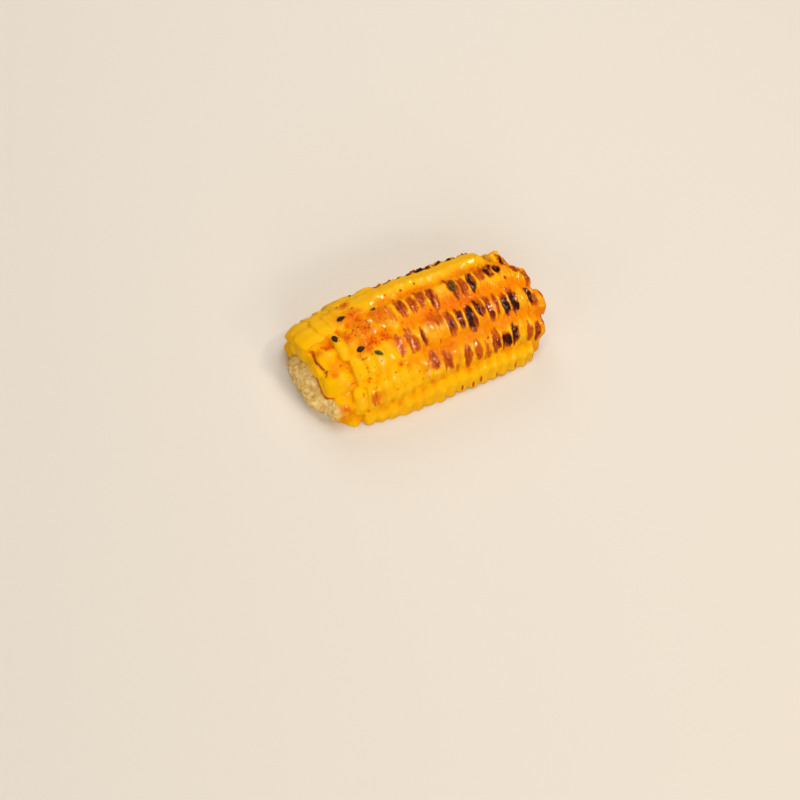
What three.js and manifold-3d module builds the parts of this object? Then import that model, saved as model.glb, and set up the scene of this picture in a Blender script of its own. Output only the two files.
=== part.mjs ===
// Grilled sweetcorn: a piece of an ear split lengthwise, lying on its flat cut.
//
// Millimetres. +X runs along the ear from its broken butt to its tip end, +Z is up,
// and z = 0 is the plane of the lengthwise cut, which holds the ear's own axis.
// The row angle is 0 at the top of the ear and grows towards -Y, the front.
import * as THREE from "three";
import { mergeVertices } from "three/addons/utils/BufferGeometryUtils.js";
import Module from "manifold-3d";

const wasm = await Module();
wasm.setup();

// ---- Driving dimensions -------------------------------------------------------------

const EAR_RADIUS = 23; // from the axis to the kernel tops where the ear is thickest
const EAR_END = 77; // along X, where the longest row ends
const ROWS_ROUND_EAR = 12;
const ROW_OFFSET = THREE.MathUtils.degToRad(-7.3); // of row 0, off the top of the ear
const ROW_TWIST = THREE.MathUtils.degToRad(13); // how far the rows swing round at the butt
const TWIST_END = 36; // along X, where the rows have become straight
const TIP_SWING = THREE.MathUtils.degToRad(18); // how far they swing again at the tip end
const TIP_SWING_START = 63;

// The rows that are cut or lie at the back: where each run of kernels starts and ends along X.
// Kernels are missing between the two runs of row -1.
const ROW_RUNS = {
  [-3]: [[-2.4, 64.5]],
  [-2]: [[-5.2, 64.6]],
  [-1]: [[-6, 64.3], [67, 70.4]],
  3: [[-1.6, 68]],
};
const FIRST_LENGTH = 6.5; // of the large kernel that starts such a run
const FIRST_PITCH = 4.4; // along the row, the kernels after it
const LAST_PITCH = 3.3; // and the kernels at the tip end
const PITCH_SPREAD = 0.14; // share by which a kernel's length varies

// The uppermost rows: where their kernels meet along X, as uneven as in the real ear.
const ROW_EDGES = {
  0: [
    -5.5, 2.2, 5.6, 9.3, 13.4, 17.1, 20.9, 25.1, 29.4, 33.1, 36.9,
    41, 44.6, 48.2, 51.8, 55.2, 58.7, 62, 65, 68.2, 70.9, 74.6,
  ],
  1: [
    -5.4, 4.1, 8, 11.4, 15, 19.5, 23.3, 27.9, 31.4, 35, 38.5,
    42, 45.3, 49.2, 52.9, 55.9, 58.7, 61.8, 65, 68.8, 71.9, 76.8,
  ],
  2: [
    -4.7, 2.2, 6.4, 10.8, 14.8, 18.4, 21.9, 25.4, 28.8, 33, 36.8,
    40.5, 44.4, 47.9, 51.5, 55, 58.7, 62.3, 64.8, 67.8, 70.4, 73.4,
  ],
};

const BUTT_NARROWING = 0.14; // share of the radius lost at the butt
const BUTT_TAPER_LENGTH = 25;
const TIP_NARROWING = 0.03; // share of the radius lost towards the tip end
const TIP_TAPER_START = 33;
const END_ROUNDING = 5; // the last kernels of a row lie up to this much lower
const END_ROUNDING_START = 58;

const BUTT_SLOPE = 0.42; // share of a first kernel's length that slopes down to the butt
const BUTT_SLOPE_DEPTH = 3.6;
const TIP_LEAN = 9; // degrees that the last kernels lean out over the tip end
const TIP_LEAN_LENGTH = 8;

const KERNEL_GAP = 0.3; // between neighbours at their tops
const VALLEY_DEPTH = 2.5; // from the kernel tops down to where the rows have grown together
const SHOULDER_DEPTH = 1; // of a kernel's rounded top edge
const TOP_SIZE = 0.72; // of its flat top, as a share of its width
const KERNEL_ROOT = 5; // how deep each kernel is let into that common layer
const END_KERNEL_ROOT = 9.5; // and the first and last of a row, whose sides show
const TOP_SPREAD = 0.5; // how unevenly high the kernels stand
const SIDE_SPREAD = 0.03; // radians by which they stand out of line

const COB_RADIUS = 11;
const COB_CLEARANCE = 0.35; // between the cob and the kernel layer round it
const BED_START = -5.3; // along X, where the kernel layer starts next to the cob
const BUTT_STUB = 3.3; // how far the broken pith stands out past that
const COB_END = 72.5;
const PITH_CRAG = 0.45; // height of the crumbled lumps on the pith

const SESAME = { length: 3.1, width: 1.8, height: 0.9 };
const SEAWEED = { length: 3.4, width: 1.5, height: 0.35 };

const AROUND_EAR = 40; // facets round a full turn
const KERNEL_SIDES = 8;
const BIG = 200; // larger than the whole ear

const ROW_PITCH = (2 * Math.PI) / ROWS_ROUND_EAR;
const FIRST_ROW = -3; // at the back, cut lengthwise
const LAST_ROW = 3; // at the front, cut lengthwise

// ---- Helpers ------------------------------------------------------------------------

// A repeatable number from 0 to 1 for each pair of whole numbers.
function scatter(a, b) {
  const wave = Math.sin(a * 12.9898 + b * 78.233 + 4.7) * 43758.5453;
  return wave - Math.floor(wave);
}

function clamp01(value) {
  return Math.min(1, Math.max(0, value));
}

function toSolid(geometry) {
  geometry.deleteAttribute("normal");
  geometry.deleteAttribute("uv");
  const merged = mergeVertices(geometry, 1e-4);
  const vertProperties = new Float32Array(merged.attributes.position.array);
  const triVerts = new Uint32Array(merged.index.array);
  return new wasm.Manifold(new wasm.Mesh({ numProp: 3, vertProperties, triVerts }));
}

function toGeometry(solid) {
  const mesh = solid.getMesh();
  const geometry = new THREE.BufferGeometry();
  geometry.setAttribute("position", new THREE.BufferAttribute(mesh.vertProperties, 3));
  geometry.setIndex(new THREE.BufferAttribute(mesh.triVerts, 1));
  return geometry;
}

// A solid of revolution about the X axis from [x, radius] pairs that start and end on it.
function turnedSolid(profile, shape = (point) => point) {
  const points = profile.map(([x, radius]) => new THREE.Vector2(radius, x));
  const lathe = new THREE.LatheGeometry(points, AROUND_EAR);
  lathe.rotateZ(-Math.PI / 2);
  lathe.deleteAttribute("normal");
  lathe.deleteAttribute("uv");
  const merged = mergeVertices(lathe, 1e-4);
  const position = merged.attributes.position;
  for (let i = 0; i < position.count; i += 1) {
    const point = shape(new THREE.Vector3().fromBufferAttribute(position, i));
    position.setXYZ(i, point.x, point.y, point.z);
  }
  return toSolid(merged);
}

// ---- The ear's own form -------------------------------------------------------------

function earRadius(x) {
  const butt = clamp01(1 - x / BUTT_TAPER_LENGTH);
  const tip = clamp01((x - TIP_TAPER_START) / (EAR_END - TIP_TAPER_START));
  const end = clamp01((x - END_ROUNDING_START) / (EAR_END - END_ROUNDING_START));
  const taper = 1 - BUTT_NARROWING * butt ** 2 - TIP_NARROWING * tip ** 2;
  return EAR_RADIUS * taper - END_ROUNDING * end ** 2;
}

function rowAngle(row, x) {
  const twist = ROW_TWIST * clamp01(1 - x / TWIST_END) ** 1.5;
  const swing = TIP_SWING * clamp01((x - TIP_SWING_START) / (EAR_END - TIP_SWING_START)) ** 2;
  return row * ROW_PITCH + ROW_OFFSET + twist + swing;
}

// Where the kernels of a run meet along X, from the start of the first to the end of the last.
function runEdges(row, start, end) {
  const edges = [start, start + FIRST_LENGTH];
  for (let n = 1; end - edges[n] > LAST_PITCH / 2; n += 1) {
    const even = THREE.MathUtils.lerp(FIRST_PITCH, LAST_PITCH, clamp01(edges[n] / end));
    edges.push(edges[n] + even * (1 + PITCH_SPREAD * (2 * scatter(row, n) - 1)));
  }
  const fit = (end - start) / (edges.at(-1) - start);
  return edges.map((edge) => start + fit * (edge - start));
}

// The kernels of one run, whose row ends at rowEnd.
function kernelsInRun(row, edges, rowEnd) {
  const last = edges.length - 2;
  return edges.slice(0, -1).map((edge, index) => ({
    row,
    index,
    x: (edge + edges[index + 1]) / 2,
    length: edges[index + 1] - edge,
    first: index === 0,
    rootDepth: index === 0 || index === last ? END_KERNEL_ROOT : KERNEL_ROOT,
    toTip: rowEnd - (edge + edges[index + 1]) / 2,
  }));
}

function kernelsInRow(row) {
  const runs = ROW_EDGES[row]
    ? [ROW_EDGES[row]]
    : ROW_RUNS[row].map(([start, end]) => runEdges(row, start, end));
  const rowEnd = runs.at(-1).at(-1);
  return runs.flatMap((edges) => kernelsInRun(row, edges, rowEnd));
}

// Where a kernel stands: the middle of its top, and its outward, across and buttward directions.
function kernelPlace(kernel) {
  const { row, index, x } = kernel;
  const angle = rowAngle(row, x) + SIDE_SPREAD * (scatter(index, row + 40) - 0.5);
  const lean = THREE.MathUtils.degToRad(TIP_LEAN * clamp01(1 - kernel.toTip / TIP_LEAN_LENGTH));
  const radial = new THREE.Vector3(0, -Math.sin(angle), Math.cos(angle));
  const across = new THREE.Vector3(0, -Math.cos(angle), -Math.sin(angle));
  const outward = radial.clone().multiplyScalar(Math.cos(lean));
  outward.x = Math.sin(lean);
  const buttward = new THREE.Vector3().crossVectors(across, outward);
  const height = TOP_SPREAD * (scatter(index + 7, row) - 0.5);
  const root = radial.multiplyScalar(earRadius(x) - KERNEL_ROOT);
  root.x = x;
  const top = root.addScaledVector(outward, KERNEL_ROOT + height);
  return { outward, across, buttward, top };
}

// The levels of a kernel: how deep, how large, and how far its butt side is cut back.
function kernelLevels(kernel) {
  const base = { depth: kernel.rootDepth, size: 1 - kernel.rootDepth / earRadius(kernel.x) };
  if (!kernel.first) {
    return [
      { ...base, cutBack: 0 },
      { depth: SHOULDER_DEPTH, size: 0.95, cutBack: 0 },
      { depth: 0, size: TOP_SIZE, cutBack: 0 },
    ];
  }
  return [
    { ...base, cutBack: 0 },
    { depth: BUTT_SLOPE_DEPTH, size: 0.9, cutBack: 0 },
    { depth: SHOULDER_DEPTH, size: 0.95, cutBack: 0.7 * BUTT_SLOPE * kernel.length },
    { depth: 0, size: TOP_SIZE, cutBack: BUTT_SLOPE * kernel.length },
  ];
}

// A kernel: rounded rectangles from its root up to its flattened top.
function kernelSolid(kernel) {
  const place = kernelPlace(kernel);
  const halfLength = (kernel.length - KERNEL_GAP) / 2;
  const halfWidth = (earRadius(kernel.x) * ROW_PITCH - KERNEL_GAP) / 2;
  const corners = [];
  for (const level of kernelLevels(kernel)) {
    for (let n = 0; n < KERNEL_SIDES; n += 1) {
      const turn = ((n + 0.5) / KERNEL_SIDES) * 2 * Math.PI;
      const atButt = clamp01(squircle(Math.cos(turn)));
      const u = squircle(Math.cos(turn)) * halfLength * (0.3 + 0.7 * level.size);
      const v = squircle(Math.sin(turn)) * halfWidth * level.size;
      corners.push(place.top.clone()
        .addScaledVector(place.buttward, u - atButt * level.cutBack)
        .addScaledVector(place.across, v)
        .addScaledVector(place.outward, -level.depth));
    }
  }
  return stackedSolid(corners, KERNEL_SIDES);
}

// Pushes a cosine or sine outwards, so that a circle becomes a rounded square.
function squircle(value) {
  return Math.sign(value) * Math.abs(value) ** 0.45;
}

// A closed solid from rings of corners, one over the other, with flat ends.
function stackedSolid(corners, sides) {
  const rings = corners.length / sides;
  const index = [];
  for (let ring = 0; ring + 1 < rings; ring += 1) {
    for (let n = 0; n < sides; n += 1) {
      const a = ring * sides + n;
      const b = ring * sides + ((n + 1) % sides);
      index.push(a, b, b + sides, a, b + sides, a + sides);
    }
  }
  const lid = (rings - 1) * sides;
  for (let n = 1; n + 1 < sides; n += 1) {
    index.push(0, n + 1, n);
    index.push(lid, lid + n, lid + n + 1);
  }
  const geometry = new THREE.BufferGeometry().setFromPoints(corners);
  geometry.setIndex(index);
  return toSolid(geometry);
}

// The upper half of space, above the lengthwise cut.
function aboveCut() {
  const box = new THREE.BoxGeometry(BIG, BIG, BIG);
  box.translate(0, 0, BIG / 2);
  return toSolid(box);
}

// ---- Kernel layer -------------------------------------------------------------------

// The common layer that the kernels grow from, solid to the axis until the cob is cut out.
function kernelBed() {
  const steps = 6;
  const shoulder = 1;
  const bedEnd = COB_END - 2;
  const profile = [[BED_START, 0], [BED_START, COB_RADIUS], [BED_START / 2, 16]];
  for (let n = 0; n <= steps; n += 1) {
    const x = THREE.MathUtils.lerp(shoulder, bedEnd, n / steps);
    profile.push([x, earRadius(x) - VALLEY_DEPTH]);
  }
  profile.push([bedEnd + 1.5, COB_RADIUS + 4]);
  profile.push([bedEnd + 1.5, 0]);
  return turnedSolid(profile);
}

function cobBore() {
  const bore = new THREE.CylinderGeometry(COB_RADIUS, COB_RADIUS, BIG, AROUND_EAR);
  bore.rotateZ(-Math.PI / 2);
  return toSolid(bore);
}

// A seed or flake lying on the kernels: an eight-sided lens, let into what it lies on.
function toppingSolid(size, point, outward, turn) {
  const reference = new THREE.Vector3(1, 0, 0);
  const side = new THREE.Vector3().crossVectors(outward, reference).normalize();
  const along = side.clone().applyAxisAngle(outward, turn);
  const across = new THREE.Vector3().crossVectors(outward, along);
  const corners = [];
  const levels = [
    { lift: -0.5, size: 0.5 },
    { lift: 0.1, size: 1 },
    { lift: 0.75, size: 0.6 },
  ];
  for (const level of levels) {
    for (let n = 0; n < KERNEL_SIDES; n += 1) {
      const angle = (n / KERNEL_SIDES) * 2 * Math.PI;
      corners.push(point.clone()
        .addScaledVector(along, Math.cos(angle) * level.size * size.length / 2)
        .addScaledVector(across, Math.sin(angle) * level.size * size.width / 2)
        .addScaledVector(outward, level.lift * size.height));
    }
  }
  return stackedSolid(corners, KERNEL_SIDES);
}

// The toppings, by their place along the ear, their row angle and their turn, in degrees.
const TOPPINGS = [
  { kind: SESAME, x: 3.1, angle: -3.5, turn: 5 },
  { kind: SESAME, x: 9.1, angle: 14.5, turn: 90 },
  { kind: SESAME, x: 8.6, angle: -20, turn: 95 },
  { kind: SEAWEED, x: 13.4, angle: 24, turn: 55 },
  { kind: SEAWEED, x: 19.5, angle: -16, turn: 130 },
  { kind: SEAWEED, x: 46.6, angle: -7.5, turn: 170 },
];

// Finds the surface under a topping by looking inwards from outside the ear.
function surfacePoint(solid, x, angle) {
  const surface = new THREE.Mesh(toGeometry(solid));
  const outward = new THREE.Vector3(0, -Math.sin(angle), Math.cos(angle));
  const start = outward.clone().multiplyScalar(2 * EAR_RADIUS);
  start.x = x;
  const ray = new THREE.Raycaster(start, outward.clone().negate());
  return { point: ray.intersectObject(surface)[0].point, outward };
}

function kernelLayer() {
  const half = aboveCut();
  let layer = kernelBed();
  for (let row = FIRST_ROW; row <= LAST_ROW; row += 1) {
    for (const kernel of kernelsInRow(row)) layer = layer.add(kernelSolid(kernel));
  }
  layer = layer.subtract(cobBore()).intersect(half);
  for (const topping of TOPPINGS) {
    const angle = THREE.MathUtils.degToRad(topping.angle);
    const { point, outward } = surfacePoint(layer, topping.x, angle);
    const turn = THREE.MathUtils.degToRad(topping.turn);
    layer = layer.add(toppingSolid(topping.kind, point, outward, turn));
  }
  return largestPart(layer);
}

// Drops any loose sliver that the lengthwise cut left beside the layer.
function largestPart(solid) {
  const parts = solid.decompose();
  return parts.reduce((most, part) => (part.volume() > most.volume() ? part : most));
}

// ---- Cob ----------------------------------------------------------------------------

// The pale cob: a long core with a crumbled dome of pith at the butt and a rough tip end.
function cobCore() {
  const radius = COB_RADIUS - COB_CLEARANCE;
  const domeStart = BED_START - 0.2;
  const domeSteps = 5;
  const profile = [];
  for (let n = 0; n <= domeSteps; n += 1) {
    const turn = (n / domeSteps) * (Math.PI / 2);
    profile.push([domeStart - BUTT_STUB * Math.cos(turn), radius * Math.sin(turn) ** 0.8]);
  }
  profile[0][1] = 0;
  profile.push([20, radius], [45, radius]);
  profile.push([COB_END - 1, radius], [COB_END, radius * 0.8], [COB_END + 0.8, radius * 0.4]);
  profile.push([COB_END + 0.8, 0]);
  return turnedSolid(profile, crumbled).intersect(aboveCut());
}

// Moves a point on either rough end in or out, so that the pith looks crumbled.
function crumbled(point) {
  const radius = Math.hypot(point.y, point.z);
  const atButt = point.x < BED_START - 0.3;
  const atTip = point.x > COB_END - 0.2;
  if (radius < 1 || !(atButt || atTip)) return point;
  const lump = Math.sin(1.9 * point.y + 1.3 * point.x) + Math.cos(2.3 * point.z - 0.8 * point.y);
  const inward = 1 + (PITH_CRAG * (lump - 2)) / (2 * radius);
  return new THREE.Vector3(point.x + 0.5 * PITH_CRAG * lump, point.y * inward, point.z * inward);
}

// ---- Assembly -----------------------------------------------------------------------

function namedMesh(name, solid, color, roughness) {
  const material = new THREE.MeshStandardMaterial({ color, roughness, metalness: 0 });
  const mesh = new THREE.Mesh(toGeometry(solid), material);
  mesh.name = name;
  return mesh;
}

const corn = new THREE.Group();
corn.add(namedMesh("kernels", kernelLayer(), 0xf0a010, 0.35));
corn.add(namedMesh("cob", cobCore(), 0xd8c8a4, 0.9));

// The origin is the middle of the whole piece's footprint, on the plane of the cut.
const bounds = new THREE.Box3().setFromObject(corn);
const middle = bounds.getCenter(new THREE.Vector3());
for (const mesh of corn.children) {
  mesh.position.set(-middle.x, -middle.y, -bounds.min.z);
}

export default corn;
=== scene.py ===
"""Grilled sweetcorn, split lengthwise and lying on its flat cut.

Sizes are in millimetres in the ear's own frame until a mesh is made: X runs along the ear's axis
from the broken butt to the tip end, the axis lies in the plane of the cut, z = 0, and a row angle
is 0 at the top of the ear and grows towards -Y, the front.
"""

import itertools
import math
import random

import bmesh
import bpy
import numpy as np
from mathutils import Matrix, Vector
from mathutils.bvhtree import BVHTree


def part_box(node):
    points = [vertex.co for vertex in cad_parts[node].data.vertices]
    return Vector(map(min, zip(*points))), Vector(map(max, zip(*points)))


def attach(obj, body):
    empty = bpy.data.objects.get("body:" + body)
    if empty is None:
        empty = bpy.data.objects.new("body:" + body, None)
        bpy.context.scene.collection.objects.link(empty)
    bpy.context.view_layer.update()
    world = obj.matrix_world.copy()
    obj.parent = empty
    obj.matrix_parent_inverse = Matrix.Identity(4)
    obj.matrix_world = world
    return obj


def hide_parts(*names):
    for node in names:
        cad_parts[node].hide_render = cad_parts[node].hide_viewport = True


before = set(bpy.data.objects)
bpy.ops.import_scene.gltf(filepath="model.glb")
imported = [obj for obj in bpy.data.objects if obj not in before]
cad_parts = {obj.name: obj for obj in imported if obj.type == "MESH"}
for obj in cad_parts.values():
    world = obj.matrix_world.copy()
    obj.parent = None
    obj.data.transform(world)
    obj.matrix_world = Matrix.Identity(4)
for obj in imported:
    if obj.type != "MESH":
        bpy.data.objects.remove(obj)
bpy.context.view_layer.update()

MM = 0.001

# ---- The ear's driving sizes, as in the CAD part ----

EAR_RADIUS = 23
EAR_END = 77
ROW_PITCH = 2 * math.pi / 12
ROW_OFFSET = math.radians(-7.3)
ROW_TWIST = math.radians(13)
TWIST_END = 36
TIP_SWING = math.radians(18)
TIP_SWING_START = 63
FIRST_ROW, LAST_ROW = -3, 3

# Where each run of kernels starts and ends; kernels are missing between the runs of row -1.
ROW_RUNS = {
    -3: [(-2.4, 64.5)],
    -2: [(-5.2, 64.6)],
    -1: [(-6, 64.3), (67, 70.4)],
    3: [(-1.6, 68)],
}
FIRST_LENGTH = 6.5
FIRST_PITCH = 4.4
LAST_PITCH = 3.3
PITCH_SPREAD = 0.14
# Where the kernels of the three uppermost rows meet along X, read off the photo.
ROW_EDGES = {
    0: [
        -5.5, 2.2, 5.6, 9.3, 13.4, 17.1, 20.9, 25.1, 29.4, 33.1, 36.9,
        41, 44.6, 48.2, 51.8, 55.2, 58.7, 62, 65, 68.2, 70.9, 74.6,
    ],
    1: [
        -5.4, 4.1, 8, 11.4, 15, 19.5, 23.3, 27.9, 31.4, 35, 38.5,
        42, 45.3, 49.2, 52.9, 55.9, 58.7, 61.8, 65, 68.8, 71.9, 76.8,
    ],
    2: [
        -4.7, 2.2, 6.4, 10.8, 14.8, 18.4, 21.9, 25.4, 28.8, 33, 36.8,
        40.5, 44.4, 47.9, 51.5, 55, 58.7, 62.3, 64.8, 67.8, 70.4, 73.4,
    ],
}

BUTT_NARROWING = 0.14
BUTT_TAPER_LENGTH = 25
TIP_NARROWING = 0.03
TIP_TAPER_START = 33
END_ROUNDING = 5
END_ROUNDING_START = 58
BUTT_SLOPE = 0.42
BUTT_SLOPE_DEPTH = 3.6
TIP_LEAN = math.radians(9)
TIP_LEAN_LENGTH = 8
KERNEL_ROOT = 5
TOP_SPREAD = 0.5
SIDE_SPREAD = 0.03

COB_RADIUS = 11
BED_START = -5.3
BUTT_STUB = 3.3
COB_END = 72.5

# The ear's frame lies off the CAD frame by what the CAD nodes' own boxes say.
KERNELS_LOW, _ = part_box("kernels")
COB_LOW, COB_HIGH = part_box("cob")
EAR_ORIGIN = Vector((KERNELS_LOW.x - BED_START * MM, (COB_LOW.y + COB_HIGH.y) / 2, 0))

# ---- Sizes that only the scene has ----

VALLEY_DEPTH = 2.4  # the most that the bed between the rows lies below the ear's radius
COB_CLEARANCE = 0.15  # how far inside COB_RADIUS the cob's side lies
BED_INSET = 0.1  # and the bed's bore round it, before the skin is fused and smoothed
SKIN_GRAIN = 0.375  # of the grid that the kernels and their bed are fused on
SOFTENING = 2  # passes of smoothing after that
LOWEST_TOP = -6  # a kernel with a lower top lies wholly below the cut
ON_CUT = 1e-6  # metres above the plane of the cut that still count as on it
# What the skin's values are on the cut.
CUT_LOOK = {"scorch_and_crease_shade": 0, "orange": 0.1, "pale": 0.1, "wet": 0.5}

# ---- Camera ----

PICTURE_WIDTH = 800
FOCAL_LENGTH_PX = 2431
SENSOR_WIDTH = 36
CAMERA_TARGET = Vector((40, 0, 0))  # in the ear's frame, in millimetres
TARGET_PIXEL = (429.19, 338.89)
CAMERA_DISTANCE = 796.8
CAMERA_AZIMUTH = math.radians(-40.33)
CAMERA_ELEVATION = math.radians(54.73)
CAMERA_ROLL = math.radians(13.33)


def make_camera():
    data = bpy.data.cameras.new("camera")
    data.sensor_width = SENSOR_WIDTH
    data.lens = FOCAL_LENGTH_PX / PICTURE_WIDTH * SENSOR_WIDTH
    data.clip_start, data.clip_end = 0.01, 20
    camera = bpy.data.objects.new("camera", data)
    bpy.context.scene.collection.objects.link(camera)
    level = math.cos(CAMERA_ELEVATION)
    back = Vector((
        math.sin(CAMERA_AZIMUTH) * level,
        -math.cos(CAMERA_AZIMUTH) * level,
        math.sin(CAMERA_ELEVATION),
    ))
    right = Vector((0, 0, 1)).cross(back).normalized()
    up = back.cross(right)
    rolled_right = math.cos(CAMERA_ROLL) * right + math.sin(CAMERA_ROLL) * up
    rolled_up = math.cos(CAMERA_ROLL) * up - math.sin(CAMERA_ROLL) * right
    # The target stands off the middle of the picture, so the camera is turned a little past it.
    off_right = (TARGET_PIXEL[0] - PICTURE_WIDTH / 2) / FOCAL_LENGTH_PX
    off_up = (PICTURE_WIDTH / 2 - TARGET_PIXEL[1]) / FOCAL_LENGTH_PX
    axis_z = (back + off_right * rolled_right + off_up * rolled_up).normalized()
    axis_x = (rolled_right - rolled_right.dot(axis_z) * axis_z).normalized()
    axis_y = axis_z.cross(axis_x)
    turn = Matrix((axis_x, axis_y, axis_z)).transposed().to_4x4()
    place = EAR_ORIGIN + (CAMERA_TARGET + CAMERA_DISTANCE * back) * MM
    camera.matrix_world = Matrix.Translation(place) @ turn
    bpy.context.scene.camera = camera


# ---- Numbers ----


def clamp01(value):
    return min(1.0, max(0.0, value))


def smooth(value):
    t = np.clip(value, 0, 1)
    return t * t * (3 - 2 * t)


def scatter(a, b):
    """A repeatable number from 0 to 1 for a pair of whole numbers, as in the CAD part."""
    wave = math.sin(a * 12.9898 + b * 78.233 + 4.7) * 43758.5453
    return wave - math.floor(wave)


def lattice(cells, seed):
    wave = np.sin(cells @ np.array([12.9898, 78.233, 37.719]) + seed * 4.7) * 43758.5453
    return wave - np.floor(wave)


def noise(points, size, seed=0):
    """Smooth noise from 0 to 1 in lumps about size across."""
    scaled = points / size
    cells = np.floor(scaled)
    share = smooth(scaled - cells)
    total = np.zeros(len(points))
    for corner in itertools.product((0, 1), repeat=3):
        weight = np.prod(np.where(np.array(corner), share, 1 - share), axis=1)
        total += weight * lattice(cells + np.array(corner), seed)
    return total


# ---- The ear's form ----


def ear_radius(x):
    butt = np.clip(1 - x / BUTT_TAPER_LENGTH, 0, 1)
    tip = np.clip((x - TIP_TAPER_START) / (EAR_END - TIP_TAPER_START), 0, 1)
    end = np.clip((x - END_ROUNDING_START) / (EAR_END - END_ROUNDING_START), 0, 1)
    taper = 1 - BUTT_NARROWING * butt**2 - TIP_NARROWING * tip**2
    return EAR_RADIUS * taper - END_ROUNDING * end**2


def row_angle(row, x):
    twist = ROW_TWIST * np.clip(1 - x / TWIST_END, 0, 1) ** 1.5
    swing_share = (x - TIP_SWING_START) / (EAR_END - TIP_SWING_START)
    swing = TIP_SWING * np.clip(swing_share, 0, 1) ** 2
    return row * ROW_PITCH + ROW_OFFSET + twist + swing


def run_edges(row, start, end):
    """Where the kernels of a run meet along X, as in the CAD part."""
    edges = [start, start + FIRST_LENGTH]
    while end - edges[-1] > LAST_PITCH / 2:
        n = len(edges) - 1
        even = FIRST_PITCH + (LAST_PITCH - FIRST_PITCH) * clamp01(edges[-1] / end)
        edges.append(edges[-1] + even * (1 + PITCH_SPREAD * (2 * scatter(row, n) - 1)))
    fit = (end - start) / (edges[-1] - start)
    return [start + fit * (edge - start) for edge in edges]


class Kernel:
    """Where one kernel stands, and how large it is."""

    def __init__(self, row, index, edges, row_end):
        self.row, self.index = row, index
        self.x = (edges[index] + edges[index + 1]) / 2
        self.length = edges[index + 1] - edges[index]
        self.first = index == 0
        self.last = index == len(edges) - 2
        self.radius = float(ear_radius(self.x))
        side = SIDE_SPREAD * (scatter(index, row + 40) - 0.5)
        self.angle = float(row_angle(row, self.x)) + side
        lean = TIP_LEAN * clamp01(1 - (row_end - self.x) / TIP_LEAN_LENGTH)
        radial = np.array([0, -math.sin(self.angle), math.cos(self.angle)])
        self.across = np.array([0, -math.cos(self.angle), -math.sin(self.angle)])
        self.outward = radial * math.cos(lean) + np.array([math.sin(lean), 0, 0])
        self.along = np.cross(self.outward, self.across)
        height = TOP_SPREAD * (scatter(index + 7, row) - 0.5)
        root = radial * (self.radius - KERNEL_ROOT) + np.array([self.x, 0, 0])
        self.top = root + self.outward * (KERNEL_ROOT + height)


def all_kernels():
    for row in range(FIRST_ROW, LAST_ROW + 1):
        runs = [run_edges(row, *ends) for ends in ROW_RUNS.get(row, [])] or [ROW_EDGES[row]]
        for edges in runs:
            for index in range(len(edges) - 1):
                yield Kernel(row, index, edges, runs[-1][-1])


# ---- Scorching, by row and kernel ----

# How dark the grill has burnt the kernels of the uppermost rows, from 0 to 1.
SCORCH = {
    0: [0, 0, 0, 0.05, 0.05, 0.1, 0.15, 0.42, 0.42, 0.4, 0.52,
        0.08, 0.45, 0.5, 0.8, 0.5, 0.75, 0.95, 0.05, 0.4, 0.4],
    1: [0, 0, 0, 0, 0, 0.25, 0.3, 0.1, 0.05, 0.3, 0.58,
        0.64, 0.8, 0.78, 0.5, 0.4, 0.82, 0.9, 0, 0.92, 0.05],
    2: [0.1, 0, 0.15, 0, 0, 0, 0, 0.1, 0.4, 0.42, 0.12,
        0.42, 0.3, 0.25, 0.45, 0.8, 0.95, 0, 0.35, 0.5, 0.1],
}
# Where across its top a kernel is burnt, from -1 at the back to 1 at the front.
SCORCH_SIDE = {
    (0, 10): 0.2, (0, 13): 0.1, (0, 14): 0.2, (0, 15): -0.2, (0, 16): -0.2, (0, 17): -0.35,
    (0, 19): -0.5, (0, 20): 0.2, (1, 9): -0.6, (1, 11): -0.2, (1, 13): -0.4, (2, 8): -0.35,
    (2, 9): -0.2, (2, 19): 0.2,
}


def scorch_of(kernel):
    """How dark a kernel is burnt, and where across its top."""
    side = SCORCH_SIDE.get((kernel.row, kernel.index), 0)
    if kernel.row in SCORCH:
        return SCORCH[kernel.row][kernel.index], side
    chance = scatter(kernel.index + 3, kernel.row + 11)
    if kernel.row == -2:
        return (0.6 + 0.2 * chance) * clamp01((kernel.x - 26) / 6), 0.45
    if kernel.row == -1:
        return (0.55 if kernel.x > 66 else 0), 0.4
    return (0.3 * chance if kernel.row == -3 else 0), 0


# ---- Kernel solids ----

SEGMENTS = 36
OUTLINE_POWER = 3.6
OUTLINE_ASPECT = 2.6  # how much wider than long a kernel is, to spread its outline's points
CROWN_INSETS = [0, 0.06, 0.13, 0.21, 0.3, 0.4, 0.52, 0.66, 0.82, 0.97]
RIDGE_SHARE = 0.42  # how much of its width the ridge of a kernel's top keeps
END_FALL = 1.2  # how far a top falls to its ends along the row
SIDE_FALL = 2.1  # and to its sides across the row
SIDE_LEVEL = 0.38  # the share of its half width that stays level
FIRST_SIDE_LEVEL = 0.12  # and on the round first kernels of rows 0 to 3
SMOOTH_ROWS = {-2: 0.45, -1: 0.42}  # rows whose kernels hardly stand out, and their end fall
SHRINK_START, SHRINK_LENGTH = 22, 16  # where along X the tops begin to shrink, and over how far
FREE_END_ROUNDING = 0.65  # of the end of a run's last kernel, and of its first one's
WAIST_DEPTH = 3.4  # of the ring between the rim of a kernel's top and its root


def squircle(turn):
    power = 2 / OUTLINE_POWER
    u = np.sign(np.cos(turn)) * np.abs(np.cos(turn)) ** power
    v = np.sign(np.sin(turn)) * np.abs(np.sin(turn)) ** power
    return u, v


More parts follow.
